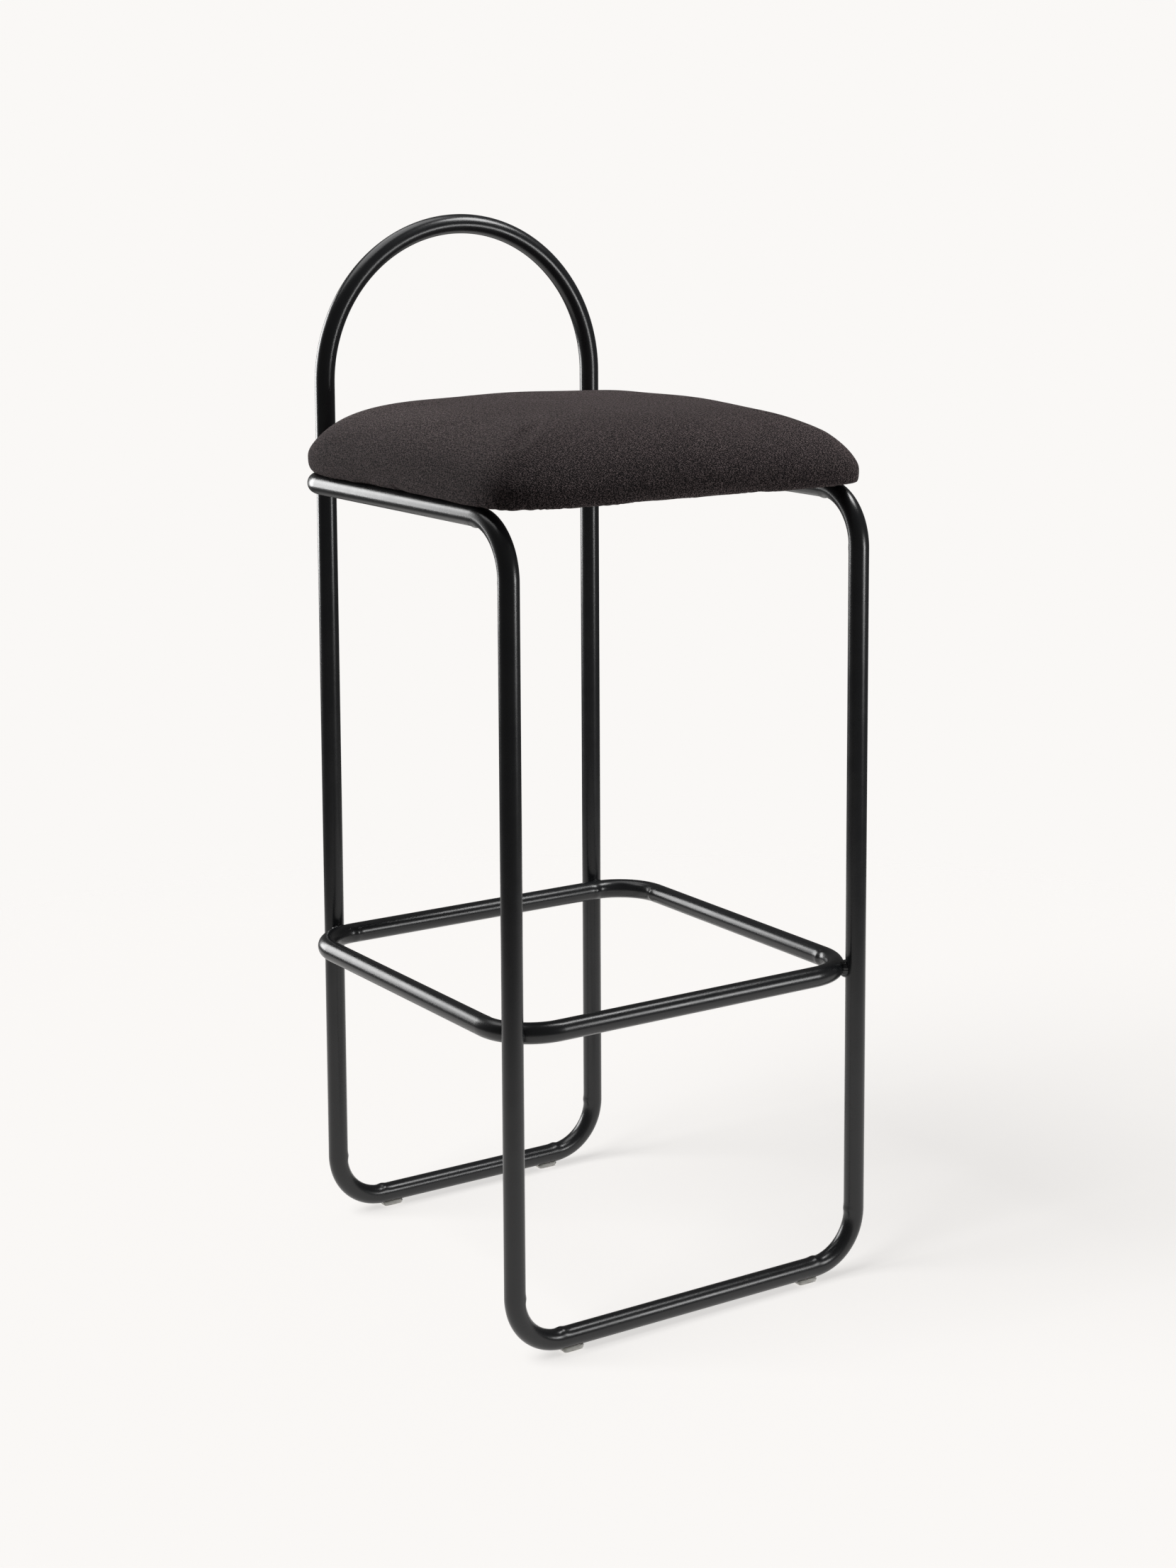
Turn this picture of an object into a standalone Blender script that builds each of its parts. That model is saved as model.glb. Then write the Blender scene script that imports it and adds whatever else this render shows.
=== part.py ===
"""Bar stool with a footrest ring, a semicircular tube backrest and an upholstered seat.

The frame is two loops and a ring of bent round tube, welded together.  The seat is a plywood board with
a domed foam pad and a fabric cover, screwed from below to four lugs on the seat rails.

Metres, +Z up.  The stool faces -Y and its origin is on the floor, under the middle of its bounding box.
"""

import math

import bmesh
import bpy
from mathutils import Vector

# Tube and clearances
TUBE_RADIUS = 0.009
TUBE_WALL = 0.0015
TOUCH_GAP = 0.0003  # left between any two pieces that meet
TUBE_SIDES = 16
BORE_SIDES = 12
BEND_STEPS = 6  # chords in a quarter turn of a small bend
ARCH_STEPS = 12  # chords in each quarter turn of the backrest arch

# Frame
FRONT_SPAN = 0.356  # between the axes of the front uprights
REAR_SPAN = 0.286  # between the axes of the rear uprights
FRONT_Y = -0.1855
REAR_Y = 0.1915
WELD_GAP = 0.001  # between tubes that a bead joins
GLIDE_HEIGHT = 0.003  # the floor rails stand this far above the floor
FLOOR_RAIL_Z = GLIDE_HEIGHT + TUBE_RADIUS
RING_Z = 0.2783
SEAT_RAIL_Z = 0.7043
ARCH_CENTRE_Z = 0.789
INNER_REAR_Y = REAR_Y - 2 * TUBE_RADIUS - WELD_GAP  # cross tube and ring stand in front of the rear loop
FRONT_FLOOR_BEND = 0.0447
REAR_FLOOR_BEND = 0.046
SEAT_FRONT_BEND = 0.0483
SEAT_REAR_BEND = 0.040
RING_BEND = 0.0455

# Glides under the floor rails, just inside the bends
GLIDE_LENGTH = 0.020
GLIDE_WIDTH = 0.012
GLIDE_LIP_Z = 0.0045  # top of the thin lips beside the tube
GLIDE_EDGE = 0.0008
STEM_RADIUS = 0.003
STEM_TOP_Z = FLOOR_RAIL_Z

# Vent hole for the coating bath, under the ring's rear side
VENT_RADIUS = 0.002

# Cushion: a crowned form over a rounded square
CUSHION_HALF_WIDTH = 0.190
CUSHION_FRONT_Y = -0.2005
CUSHION_REAR_Y = 0.1750
CUSHION_SQUARENESS = 9.0  # exponent of the plan outline; 2 would be an ellipse
CUSHION_BASE_Z = SEAT_RAIL_Z + TUBE_RADIUS + TOUCH_GAP
CUSHION_EDGE_Z = 0.7356  # height of the widest line
CUSHION_CROWN = 0.046  # dome above the widest line
CROWN_SHOULDER = 5.3
CROWN_FALL = 1.39
UNDERSIDE_DEPTH = 0.0265
UNDERSIDE_SHOULDER = 14.0
UNDERSIDE_FALL = 3.8
CORNER_DROP = 0.0066  # the cover pulls the foam down at the corners
REAR_SLOPE = 0.014  # the foam is a little higher at the rear, per metre of depth
FLAT_MARGIN = 1e-6  # a face no higher than this above the base is part of the flat base
CUSHION_SEGMENTS = 40
CUSHION_RINGS = 14

# Layers of the seat
COVER_THICKNESS = 0.0015
COVER_OPENING_HALF_WIDTH = 0.144
COVER_OPENING_HALF_DEPTH = 0.145
LINING_THICKNESS = 0.0009
BOARD_THICKNESS = 0.012
BOARD_HALF_WIDTH = 0.166
BOARD_HALF_DEPTH = 0.164
BOARD_CORNER = 0.040
BOARD_EDGE = 0.002

# Lugs, screws and threaded inserts that hold the board to the seat rails
LUG_THICKNESS = 0.0025
LUG_WIDTH = 0.024
LUG_START = 0.0045  # from the rail's axis, towards the middle
LUG_REACH = 0.034
LUG_CORNER = 0.004
SCREW_OFFSET = 0.024  # screw axis from the rail's axis
LUG_Y = 0.105
SCREW_RADIUS = 0.003
SCREW_REACH = 0.010  # into the board
HEAD_RADIUS = 0.0055
HEAD_HEIGHT = 0.0032
SOCKET_RADIUS = 0.0023
SOCKET_DEPTH = 0.0018
INSERT_RADIUS = 0.0045
INSERT_LENGTH = 0.009
INSERT_FLANGE_RADIUS = 0.0095
INSERT_FLANGE_THICKNESS = 0.0012

# Heights that follow from the layers
CUSHION_MID_Y = (CUSHION_FRONT_Y + CUSHION_REAR_Y) / 2
BOARD_Z = CUSHION_BASE_Z + COVER_THICKNESS + TOUCH_GAP
BOARD_TOP_Z = BOARD_Z + BOARD_THICKNESS
LUG_TOP_Z = CUSHION_BASE_Z - TOUCH_GAP
LUG_BOTTOM_Z = LUG_TOP_Z - LUG_THICKNESS

BEAD_SIZE = (0.0085, 0.0075, 0.0085)  # half sizes: across, through the joint, up
CUT_MARGIN = 0.01  # a cutter runs this far past the faces that it cuts

CORNERS = {"front_left": (-1, -1), "front_right": (1, -1), "rear_right": (1, 1), "rear_left": (-1, 1)}


def clear_scene():
    for obj in list(bpy.data.objects):
        bpy.data.objects.remove(obj)


def new_collection(name, is_helper=False):
    collection = bpy.data.collections.new(name)
    bpy.context.scene.collection.children.link(collection)
    collection.hide_render = is_helper
    return collection


def new_material(name, colour, roughness, metallic=0.0, transmission=0.0):
    material = bpy.data.materials.new(name)
    material.use_nodes = True
    shader = material.node_tree.nodes["Principled BSDF"]
    shader.inputs["Base Color"].default_value = (*colour, 1.0)
    shader.inputs["Roughness"].default_value = roughness
    shader.inputs["Metallic"].default_value = metallic
    shader.inputs["Transmission Weight"].default_value = transmission
    return material


def object_from_bmesh(bm, name, collection):
    """Makes a named object of the bmesh, shaded smooth except at sharp edges."""
    mesh = bpy.data.meshes.new(name)
    bm.to_mesh(mesh)
    bm.free()
    obj = bpy.data.objects.new(name, mesh)
    collection.objects.link(obj)
    mesh.shade_smooth()
    mesh.set_sharp_from_angle(angle=math.radians(35))
    return obj


def add_box(name, collection, low, high):
    bm = bmesh.new()
    bmesh.ops.create_cube(bm, size=1.0)
    size = Vector(high) - Vector(low)
    middle = (Vector(high) + Vector(low)) / 2
    for vertex in bm.verts:
        vertex.co = middle + Vector(c * s for c, s in zip(vertex.co, size))
    return object_from_bmesh(bm, name, collection)


def add_cylinder(name, collection, centre, radius, low_z, high_z, sides=16):
    """Upright cylinder, or a prism when it has few sides."""
    bm = bmesh.new()
    bmesh.ops.create_cone(
        bm, cap_ends=True, segments=sides, radius1=radius, radius2=radius, depth=high_z - low_z
    )
    bmesh.ops.translate(bm, verts=bm.verts, vec=(*centre, (low_z + high_z) / 2))
    return object_from_bmesh(bm, name, collection)


def add_modifier_boolean(obj, operation, other):
    modifier = obj.modifiers.new(f"{operation.lower()}_{other.name}", "BOOLEAN")
    modifier.operation = operation
    modifier.object = other


def cut(obj, *others):
    for other in others:
        add_modifier_boolean(obj, "DIFFERENCE", other)


def join(obj, *others):
    for other in others:
        add_modifier_boolean(obj, "UNION", other)


def bevel_vertical_edges(obj, width, segments):
    """Rounds the corners of a plate in plan."""
    bm = bmesh.new()
    bm.from_mesh(obj.data)
    edges = [e for e in bm.edges if abs((e.verts[0].co - e.verts[1].co).normalized().z) > 0.99]
    bmesh.ops.bevel(bm, geom=edges, offset=width, segments=segments, profile=0.5, affect="EDGES")
    bm.to_mesh(obj.data)
    bm.free()


def bevel_all_edges(obj, width, segments):
    modifier = obj.modifiers.new("soft_edges", "BEVEL")
    modifier.width = width
    modifier.segments = segments
    modifier.limit_method = "ANGLE"
    modifier.angle_limit = math.radians(40)


def rounded_path(corners):
    """Closed path through (corner, radius, steps), each corner turned into an arc of its radius."""
    points = []
    for i, (corner, radius, steps) in enumerate(corners):
        corner = Vector(corner)
        back = (Vector(corners[i - 1][0]) - corner).normalized()
        ahead = (Vector(corners[(i + 1) % len(corners)][0]) - corner).normalized()
        half = back.angle(ahead) / 2
        centre = corner + (back + ahead).normalized() * radius / math.sin(half)
        start = corner + back * radius / math.tan(half) - centre
        end = corner + ahead * radius / math.tan(half) - centre
        sweep = start.angle(end)
        for step in range(steps + 1):
            share = step / steps
            point = start * math.sin((1 - share) * sweep) + end * math.sin(share * sweep)
            point = centre + point / math.sin(sweep)
            if not points or (point - points[-1]).length > TOUCH_GAP:
                points.append(point)
    return points


def add_tube(name, collection, points, radius, sides):
    """Closed loop of round tube along the points, as a mesh made from a bevelled curve."""
    curve = bpy.data.curves.new(name, "CURVE")
    curve.dimensions = "3D"
    curve.bevel_depth = radius
    curve.bevel_resolution = sides // 2 - 2
    spline = curve.splines.new("POLY")
    spline.points.add(len(points) - 1)
    for target, point in zip(spline.points, points):
        target.co = (*point, 1.0)
    spline.use_cyclic_u = True
    guide = bpy.data.objects.new(f"{name}_axis", curve)
    collection.objects.link(guide)
    bpy.context.view_layer.update()
    mesh = bpy.data.meshes.new_from_object(guide.evaluated_get(bpy.context.evaluated_depsgraph_get()))
    bm = bmesh.new()
    bm.from_mesh(mesh)
    bmesh.ops.remove_doubles(bm, verts=bm.verts, dist=1e-6)
    obj = object_from_bmesh(bm, name, collection)
    obj.matrix_world = guide.matrix_world
    bpy.data.objects.remove(guide)
    bpy.data.curves.remove(curve)
    bpy.data.meshes.remove(mesh)
    return obj


def front_loop_path():
    """Floor rail, front uprights, seat rails and the cross tube behind the seat."""
    side = FRONT_SPAN / 2
    return rounded_path(
        [
            ((-side, FRONT_Y, FLOOR_RAIL_Z), FRONT_FLOOR_BEND, BEND_STEPS),
            ((side, FRONT_Y, FLOOR_RAIL_Z), FRONT_FLOOR_BEND, BEND_STEPS),
            ((side, FRONT_Y, SEAT_RAIL_Z), SEAT_FRONT_BEND, BEND_STEPS),
            ((side, INNER_REAR_Y, SEAT_RAIL_Z), SEAT_REAR_BEND, BEND_STEPS),
            ((-side, INNER_REAR_Y, SEAT_RAIL_Z), SEAT_REAR_BEND, BEND_STEPS),
            ((-side, FRONT_Y, SEAT_RAIL_Z), SEAT_FRONT_BEND, BEND_STEPS),
        ]
    )


def rear_loop_path():
    """Rear floor rail and uprights, closed by the semicircular backrest."""
    side = REAR_SPAN / 2
    arch_top = ARCH_CENTRE_Z + side
    return rounded_path(
        [
            ((-side, REAR_Y, FLOOR_RAIL_Z), REAR_FLOOR_BEND, BEND_STEPS),
            ((side, REAR_Y, FLOOR_RAIL_Z), REAR_FLOOR_BEND, BEND_STEPS),
            ((side, REAR_Y, arch_top), side, ARCH_STEPS),
            ((-side, REAR_Y, arch_top), side, ARCH_STEPS),
        ]
    )


def ring_path():
    """Rounded square whose corners lie against the inside of the front uprights."""
    side = FRONT_SPAN / 2
    return rounded_path(
        [
            ((x * side, FRONT_Y if y < 0 else INNER_REAR_Y, RING_Z), RING_BEND, BEND_STEPS)
            for x, y in CORNERS.values()
        ]
    )


def make_hollow_tube(name, points, parts, cutters, material):
    """Returns the tube, open only where its holes are cut, and a slightly fatter copy for cutting others."""
    tube = add_tube(name, parts, points, TUBE_RADIUS, TUBE_SIDES)
    bore = add_tube(f"{name}_bore", cutters, points, TUBE_RADIUS - TUBE_WALL, BORE_SIDES)
    cut(tube, bore)
    tube.data.materials.append(material)
    envelope = add_tube(f"{name}_envelope", cutters, points, TUBE_RADIUS + TOUCH_GAP, TUBE_SIDES)
    return tube, envelope


def glide_places():
    """Name, x and y of each glide, just inside the bends of the floor rails."""
    places = []
    for name, (x, y) in CORNERS.items():
        span = FRONT_SPAN if y < 0 else REAR_SPAN
        bend = FRONT_FLOOR_BEND if y < 0 else REAR_FLOOR_BEND
        along = span / 2 - bend - GLIDE_LENGTH / 2
        places.append((name, x * along, FRONT_Y if y < 0 else REAR_Y))
    return places


def make_glides(parts, cutters, envelopes, tubes, material):
    """Small saddle blocks under the floor rails, each with a stem pushed into a hole in the tube."""
    for name, x, y in glide_places():
        half = Vector((GLIDE_LENGTH / 2, GLIDE_WIDTH / 2))
        glide = add_box(
            f"glide_{name}", parts, (x - half.x, y - half.y, 0.0), (x + half.x, y + half.y, GLIDE_LIP_Z)
        )
        bevel_vertical_edges(glide, GLIDE_EDGE, 2)
        cut(glide, envelopes["front_loop" if y < 0 else "rear_loop"])
        stem = add_cylinder(
            f"stem_{name}", cutters, (x, y), STEM_RADIUS, GLIDE_HEIGHT / 2, STEM_TOP_Z
        )
        join(glide, stem)
        hole = add_cylinder(
            f"stem_hole_{name}", cutters, (x, y), STEM_RADIUS + TOUCH_GAP, -CUT_MARGIN, FLOOR_RAIL_Z
        )
        cut(tubes["front_loop" if y < 0 else "rear_loop"], hole)
        glide.data.materials.append(material)


def add_bead(name, parts, place, turn, cutting, material):
    """Weld bead: a flattened ball at the joint, hollowed by the tubes that it joins."""
    bm = bmesh.new()
    bmesh.ops.create_uvsphere(bm, u_segments=16, v_segments=10, radius=1.0)
    for vertex in bm.verts:
        vertex.co = Vector(c * s for c, s in zip(vertex.co, BEAD_SIZE))
    bead = object_from_bmesh(bm, name, parts)
    bead.location = place
    bead.rotation_euler.z = turn
    cut(bead, *cutting)
    bead.data.materials.append(material)


def make_weld_beads(parts, envelopes, material):
    ring, front, rear = (envelopes[n] for n in ("footrest_ring", "front_loop", "rear_loop"))
    reach = (math.sqrt(2) - 1) * RING_BEND / 2 / math.sqrt(2)  # from the upright half way to the ring
    joint_y = (INNER_REAR_Y + REAR_Y) / 2
    for side_name, side in (("left", -1), ("right", 1)):
        corner = (side * (FRONT_SPAN / 2 - reach), FRONT_Y + reach, RING_Z)
        add_bead(
            f"footrest_weld_front_{side_name}", parts, corner, side * math.pi / 4, (ring, front), material
        )
        rear_x = side * REAR_SPAN / 2
        add_bead(
            f"footrest_weld_rear_{side_name}", parts, (rear_x, joint_y, RING_Z), 0.0, (ring, rear), material
        )
        add_bead(
            f"seat_weld_{side_name}", parts, (rear_x, joint_y, SEAT_RAIL_Z), 0.0, (front, rear), material
        )


def cushion_point(direction, inset, base_z):
    """Maps a point of the unit sphere to the cushion's surface, moved inwards by the inset.

    The plan is a superellipse.  Going in from the widest line, the top rises by CUSHION_CROWN and the
    underside falls to a flat base, each along its own power curve.  The corners sit lower than the sides.
    """
    around = math.atan2(direction.y, direction.x)
    share = math.hypot(direction.x, direction.y)
    reach = (
        abs(math.cos(around)) ** CUSHION_SQUARENESS + abs(math.sin(around)) ** CUSHION_SQUARENESS
    ) ** (-1 / CUSHION_SQUARENESS)
    half_depth = (CUSHION_REAR_Y - CUSHION_FRONT_Y) / 2
    x = share * reach * math.cos(around) * (CUSHION_HALF_WIDTH - inset)
    y = share * reach * math.sin(around) * (half_depth - inset)
    if direction.z >= 0:
        rise = (CUSHION_CROWN - inset) * max(0.0, 1 - share**CROWN_SHOULDER) ** (1 / CROWN_FALL)
    else:
        fall = max(0.0, 1 - share**UNDERSIDE_SHOULDER) ** (1 / UNDERSIDE_FALL)
        rise = -(UNDERSIDE_DEPTH - inset) * fall
    rise += REAR_SLOPE * y - CORNER_DROP * (share * math.sin(2 * around)) ** 2
    return Vector((x, CUSHION_MID_Y + y, max(base_z, CUSHION_EDGE_Z + rise)))


def add_cushion_form(name, collection, inset, base_z):
    bm = bmesh.new()
    bmesh.ops.create_uvsphere(bm, u_segments=CUSHION_SEGMENTS, v_segments=CUSHION_RINGS, radius=1.0)
    for vertex in bm.verts:
        vertex.co = cushion_point(vertex.co.copy(), inset, base_z)
    # the forms are nested, so their bent quads are split along the same diagonals
    flat_z = base_z + FLAT_MARGIN
    bent = [face for face in bm.faces if any(vertex.co.z > flat_z for vertex in face.verts)]
    bmesh.ops.triangulate(bm, faces=bent, quad_method="FIXED")
    return object_from_bmesh(bm, name, collection)


def add_plate(name, collection, half_width, half_depth, corner, low_z, high_z):
    """Flat plate with rounded corners, centred under the cushion."""
    plate = add_box(
        name,
        collection,
        (-half_width, CUSHION_MID_Y - half_depth, low_z),
        (half_width, CUSHION_MID_Y + half_depth, high_z),
    )
    bevel_vertical_edges(plate, corner, 5)
    return plate


def screw_places():
    """Name, x and y of each of the four screws."""
    side = FRONT_SPAN / 2 - SCREW_OFFSET
    return [(name, x * side, y * LUG_Y) for name, (x, y) in CORNERS.items()]


def make_seat(parts, cutters, fabric, foam_material, plywood, lining_material):
    """Board, foam, cover and lining, with holes where the screws pass."""
    cover = add_cushion_form("seat_cover", parts, 0.0, CUSHION_BASE_Z)
    cavity = add_cushion_form("cover_cavity", cutters, COVER_THICKNESS, CUSHION_BASE_Z + COVER_THICKNESS)
    opening = add_plate(
        "cover_opening", cutters, COVER_OPENING_HALF_WIDTH, COVER_OPENING_HALF_DEPTH, BOARD_CORNER,
        CUSHION_BASE_Z - CUT_MARGIN, BOARD_Z,
    )
    cut(cover, cavity, opening)
    cover.data.materials.append(fabric)

    foam = add_cushion_form("foam_pad", parts, COVER_THICKNESS + TOUCH_GAP, BOARD_Z)
    board_space = add_plate(
        "board_space", cutters, BOARD_HALF_WIDTH + TOUCH_GAP, BOARD_HALF_DEPTH + TOUCH_GAP, BOARD_CORNER,
        BOARD_Z - CUT_MARGIN, BOARD_TOP_Z + TOUCH_GAP,
    )
    cut(foam, board_space)
    foam.data.materials.append(foam_material)

    board = add_plate(
        "seat_board", parts, BOARD_HALF_WIDTH, BOARD_HALF_DEPTH, BOARD_CORNER, BOARD_Z, BOARD_TOP_Z
    )
    bevel_all_edges(board, BOARD_EDGE, 2)
    board.data.materials.append(plywood)

    lining = add_plate(
        "lining", parts, COVER_OPENING_HALF_WIDTH - TOUCH_GAP, COVER_OPENING_HALF_DEPTH - TOUCH_GAP,
        BOARD_CORNER, BOARD_Z - TOUCH_GAP - LINING_THICKNESS, BOARD_Z - TOUCH_GAP,
    )
    lining.data.materials.append(lining_material)

    for name, x, y in screw_places():
        passage = add_cylinder(
            f"screw_passage_{name}", cutters, (x, y), SCREW_RADIUS + TOUCH_GAP,
            CUSHION_BASE_Z - CUT_MARGIN, BOARD_Z + TOUCH_GAP / 2,
        )
        cut(cover, passage)
        barrel = add_cylinder(
            f"insert_hole_{name}", cutters, (x, y), INSERT_RADIUS + TOUCH_GAP,
            BOARD_Z - CUT_MARGIN, BOARD_TOP_Z + CUT_MARGIN,
        )
        recess = add_cylinder(
            f"insert_recess_{name}", cutters, (x, y), INSERT_FLANGE_RADIUS + TOUCH_GAP,
            BOARD_TOP_Z - INSERT_FLANGE_THICKNESS - TOUCH_GAP, BOARD_TOP_Z + CUT_MARGIN,
        )
        cut(board, barrel, recess)


def make_fixings(parts, cutters, seat_rail_envelope, steel, coated_steel):
    """Lug on the rail, screw from below and threaded insert in the board, at each of the four places."""
    for name, x, y in screw_places():
        side = math.copysign(1.0, x)
        ends = sorted((side * (FRONT_SPAN / 2 - LUG_START), side * (FRONT_SPAN / 2 - LUG_REACH)))
        lug = add_box(
            f"seat_lug_{name}", parts,
            (ends[0], y - LUG_WIDTH / 2, LUG_BOTTOM_Z), (ends[1], y + LUG_WIDTH / 2, LUG_TOP_Z),
        )
        bevel_vertical_edges(lug, LUG_CORNER, 3)
        lug_hole = add_cylinder(
            f"lug_hole_{name}", cutters, (x, y), SCREW_RADIUS + TOUCH_GAP,
            LUG_BOTTOM_Z - CUT_MARGIN, LUG_TOP_Z + CUT_MARGIN,
        )
        cut(lug, seat_rail_envelope, lug_hole)
        lug.data.materials.append(coated_steel)

        head_top = LUG_BOTTOM_Z - TOUCH_GAP
        screw = add_cylinder(
            f"seat_screw_{name}", parts, (x, y), HEAD_RADIUS, head_top - HEAD_HEIGHT, head_top
        )
        shank = add_cylinder(
            f"shank_{name}", cutters, (x, y), SCREW_RADIUS, head_top - HEAD_HEIGHT / 2, BOARD_Z + SCREW_REACH
        )
        socket = add_cylinder(
            f"hex_socket_{name}", cutters, (x, y), SOCKET_RADIUS,
            head_top - HEAD_HEIGHT - CUT_MARGIN, head_top - HEAD_HEIGHT + SOCKET_DEPTH, sides=6,
        )
        join(screw, shank)
        cut(screw, socket)
        screw.data.materials.append(steel)

        insert = add_cylinder(
            f"threaded_insert_{name}", parts, (x, y), INSERT_FLANGE_RADIUS,
            BOARD_TOP_Z - INSERT_FLANGE_THICKNESS, BOARD_TOP_Z,
        )
        insert_barrel = add_cylinder(
            f"insert_barrel_{name}", cutters, (x, y), INSERT_RADIUS,
            BOARD_TOP_Z - INSERT_LENGTH, BOARD_TOP_Z - INSERT_FLANGE_THICKNESS / 2,
        )
        thread = add_cylinder(
            f"insert_bore_{name}", cutters, (x, y), SCREW_RADIUS + TOUCH_GAP,
            BOARD_Z - CUT_MARGIN, BOARD_TOP_Z + CUT_MARGIN,
        )
        join(insert, insert_barrel)
        cut(insert, thread)
        insert.data.materials.append(steel)


def main():
    clear_scene()
    parts = new_collection("bar_stool")
    cutters = new_collection("cutters", is_helper=True)

    coated_steel = new_material("black_powder_coated_steel", (0.012, 0.011, 0.010), 0.38)
    fabric = new_material("charcoal_woven_fabric", (0.035, 0.030, 0.027), 0.95)
    foam_material = new_material("cut_foam", (0.85, 0.82, 0.70), 0.9)
    plywood = new_material("birch_plywood", (0.62, 0.44, 0.26), 0.6)
    lining_material = new_material("black_lining_cloth", (0.02, 0.02, 0.02), 0.95)
    zinc_steel = new_material("zinc_plated_steel", (0.72, 0.72, 0.70), 0.35, metallic=1.0)
    clear_plastic = new_material("clear_glide_plastic", (0.80, 0.81, 0.80), 0.3, transmission=0.6)

    tubes, envelopes = {}, {}
    paths = {"front_loop": front_loop_path(), "rear_loop": rear_loop_path(), "footrest_ring": ring_path()}
    for name, points in paths.items():
        tubes[name], envelopes[name] = make_hollow_tube(name, points, parts, cutters, coated_steel)
    vent = add_cylinder(
        "ring_vent", cutters, (0.0, INNER_REAR_Y), VENT_RADIUS, RING_Z - TUBE_RADIUS - CUT_MARGIN, RING_Z, 12
    )
    cut(tubes["footrest_ring"], vent)

    make_glides(parts, cutters, envelopes, tubes, clear_plastic)
    make_weld_beads(parts, envelopes, coated_steel)
    make_seat(parts, cutters, fabric, foam_material, plywood, lining_material)
    make_fixings(parts, cutters, envelopes["front_loop"], zinc_steel, coated_steel)

    for helper in cutters.objects:
        helper.hide_render = True
        helper.display_type = "WIRE"


main()
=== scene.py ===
"""Bar stool with a footrest ring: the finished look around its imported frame.

The frame is bent round tube in black powder coat: a front loop, a rear loop that ends in a semicircular
back, and a footrest ring.  The seat is a crowned cushion in charcoal wool bouclé over a plywood board.
"""

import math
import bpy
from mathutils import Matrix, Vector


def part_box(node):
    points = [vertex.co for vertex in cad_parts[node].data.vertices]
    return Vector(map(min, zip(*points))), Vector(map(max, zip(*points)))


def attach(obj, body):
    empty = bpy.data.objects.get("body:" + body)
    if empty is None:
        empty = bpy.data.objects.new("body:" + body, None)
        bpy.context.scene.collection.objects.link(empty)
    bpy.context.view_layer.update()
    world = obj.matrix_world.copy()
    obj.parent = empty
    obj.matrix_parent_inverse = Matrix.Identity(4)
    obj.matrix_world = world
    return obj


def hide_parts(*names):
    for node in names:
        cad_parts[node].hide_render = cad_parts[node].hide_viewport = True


bl_info = {
    "name": "Bar stool with footrest",
    "version": (1, 0, 0),
    "blender": (4, 5, 0),
    "location": "View3D > Sidebar > Bar Stool",
    "description": "Makes the tube frame, cushion, fixings and glides of a bar stool around its CAD frame",
    "category": "Object",
}

import bmesh
import bpy
import numpy as np
from bpy.props import FloatProperty, FloatVectorProperty, IntProperty, PointerProperty, StringProperty
from mathutils import Vector

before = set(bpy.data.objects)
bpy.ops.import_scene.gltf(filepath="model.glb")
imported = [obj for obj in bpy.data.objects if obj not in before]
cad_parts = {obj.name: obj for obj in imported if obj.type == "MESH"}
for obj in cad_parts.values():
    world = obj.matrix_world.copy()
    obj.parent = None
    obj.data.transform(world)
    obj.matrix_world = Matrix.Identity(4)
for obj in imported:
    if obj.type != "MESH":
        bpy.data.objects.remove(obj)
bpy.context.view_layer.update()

# ---------------------------------------------------------------- places that come from the CAD frame

TUBE_RADIUS = 0.009
ROLLED_RADIUS = 0.08  # a bend from this radius up is rolled, not gripped by a bending former
FRONT_LOW, FRONT_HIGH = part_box("front_loop")
REAR_LOW, REAR_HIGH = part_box("rear_loop")
RING_LOW, RING_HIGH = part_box("footrest_ring")
COVER_LOW, COVER_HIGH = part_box("seat_cover")
LINING_LOW, LINING_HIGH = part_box("lining")

FRONT_SIDE = FRONT_HIGH.x - TUBE_RADIUS
REAR_SIDE = REAR_HIGH.x - TUBE_RADIUS
RING_SIDE = RING_HIGH.x - TUBE_RADIUS
FRONT_Y = FRONT_LOW.y + TUBE_RADIUS
INNER_REAR_Y = FRONT_HIGH.y - TUBE_RADIUS
REAR_Y = (REAR_LOW.y + REAR_HIGH.y) / 2
FLOOR_RAIL_Z = FRONT_LOW.z + TUBE_RADIUS
SEAT_RAIL_Z = FRONT_HIGH.z - TUBE_RADIUS
ARCH_TOP_Z = REAR_HIGH.z - TUBE_RADIUS
RING_Z = (RING_LOW.z + RING_HIGH.z) / 2

CORNERS = {"front_left": (-1, -1), "front_right": (1, -1), "rear_right": (1, 1), "rear_left": (-1, 1)}

# ---------------------------------------------------------------- helpers


def linear(hex_colour):
    """Scene-linear RGBA of an sRGB hex colour such as #1d1b19."""
    srgb = np.array([int(hex_colour[i : i + 2], 16) for i in (1, 3, 5)]) / 255
    value = np.where(srgb <= 0.04045, srgb / 12.92, ((srgb + 0.055) / 1.055) ** 2.4)
    return (*value.tolist(), 1.0)


def add_node(tree, kind, settings=None, inputs=None):
    """Adds a shader node.  Settings are its own attributes; an input is a value, or a socket to link from."""
    node = tree.nodes.new(kind)
    for name, value in (settings or {}).items():
        setattr(node, name, value)
    for name, value in (inputs or {}).items():
        if isinstance(value, bpy.types.NodeSocket):
            tree.links.new(value, node.inputs[name])
        else:
            node.inputs[name].default_value = value
    return node


def new_material(name):
    """An empty node material, with its tree and the object's own coordinates in metres."""
    material = bpy.data.materials.new(name)
    material.use_nodes = True
    tree = material.node_tree
    tree.nodes.clear()
    return material, tree, add_node(tree, "ShaderNodeTexCoord").outputs["Object"]


def finish_material(material, shader):
    inputs = {"Surface": shader.outputs[0]}
    add_node(material.node_tree, "ShaderNodeOutputMaterial", inputs=inputs)
    return material


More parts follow.
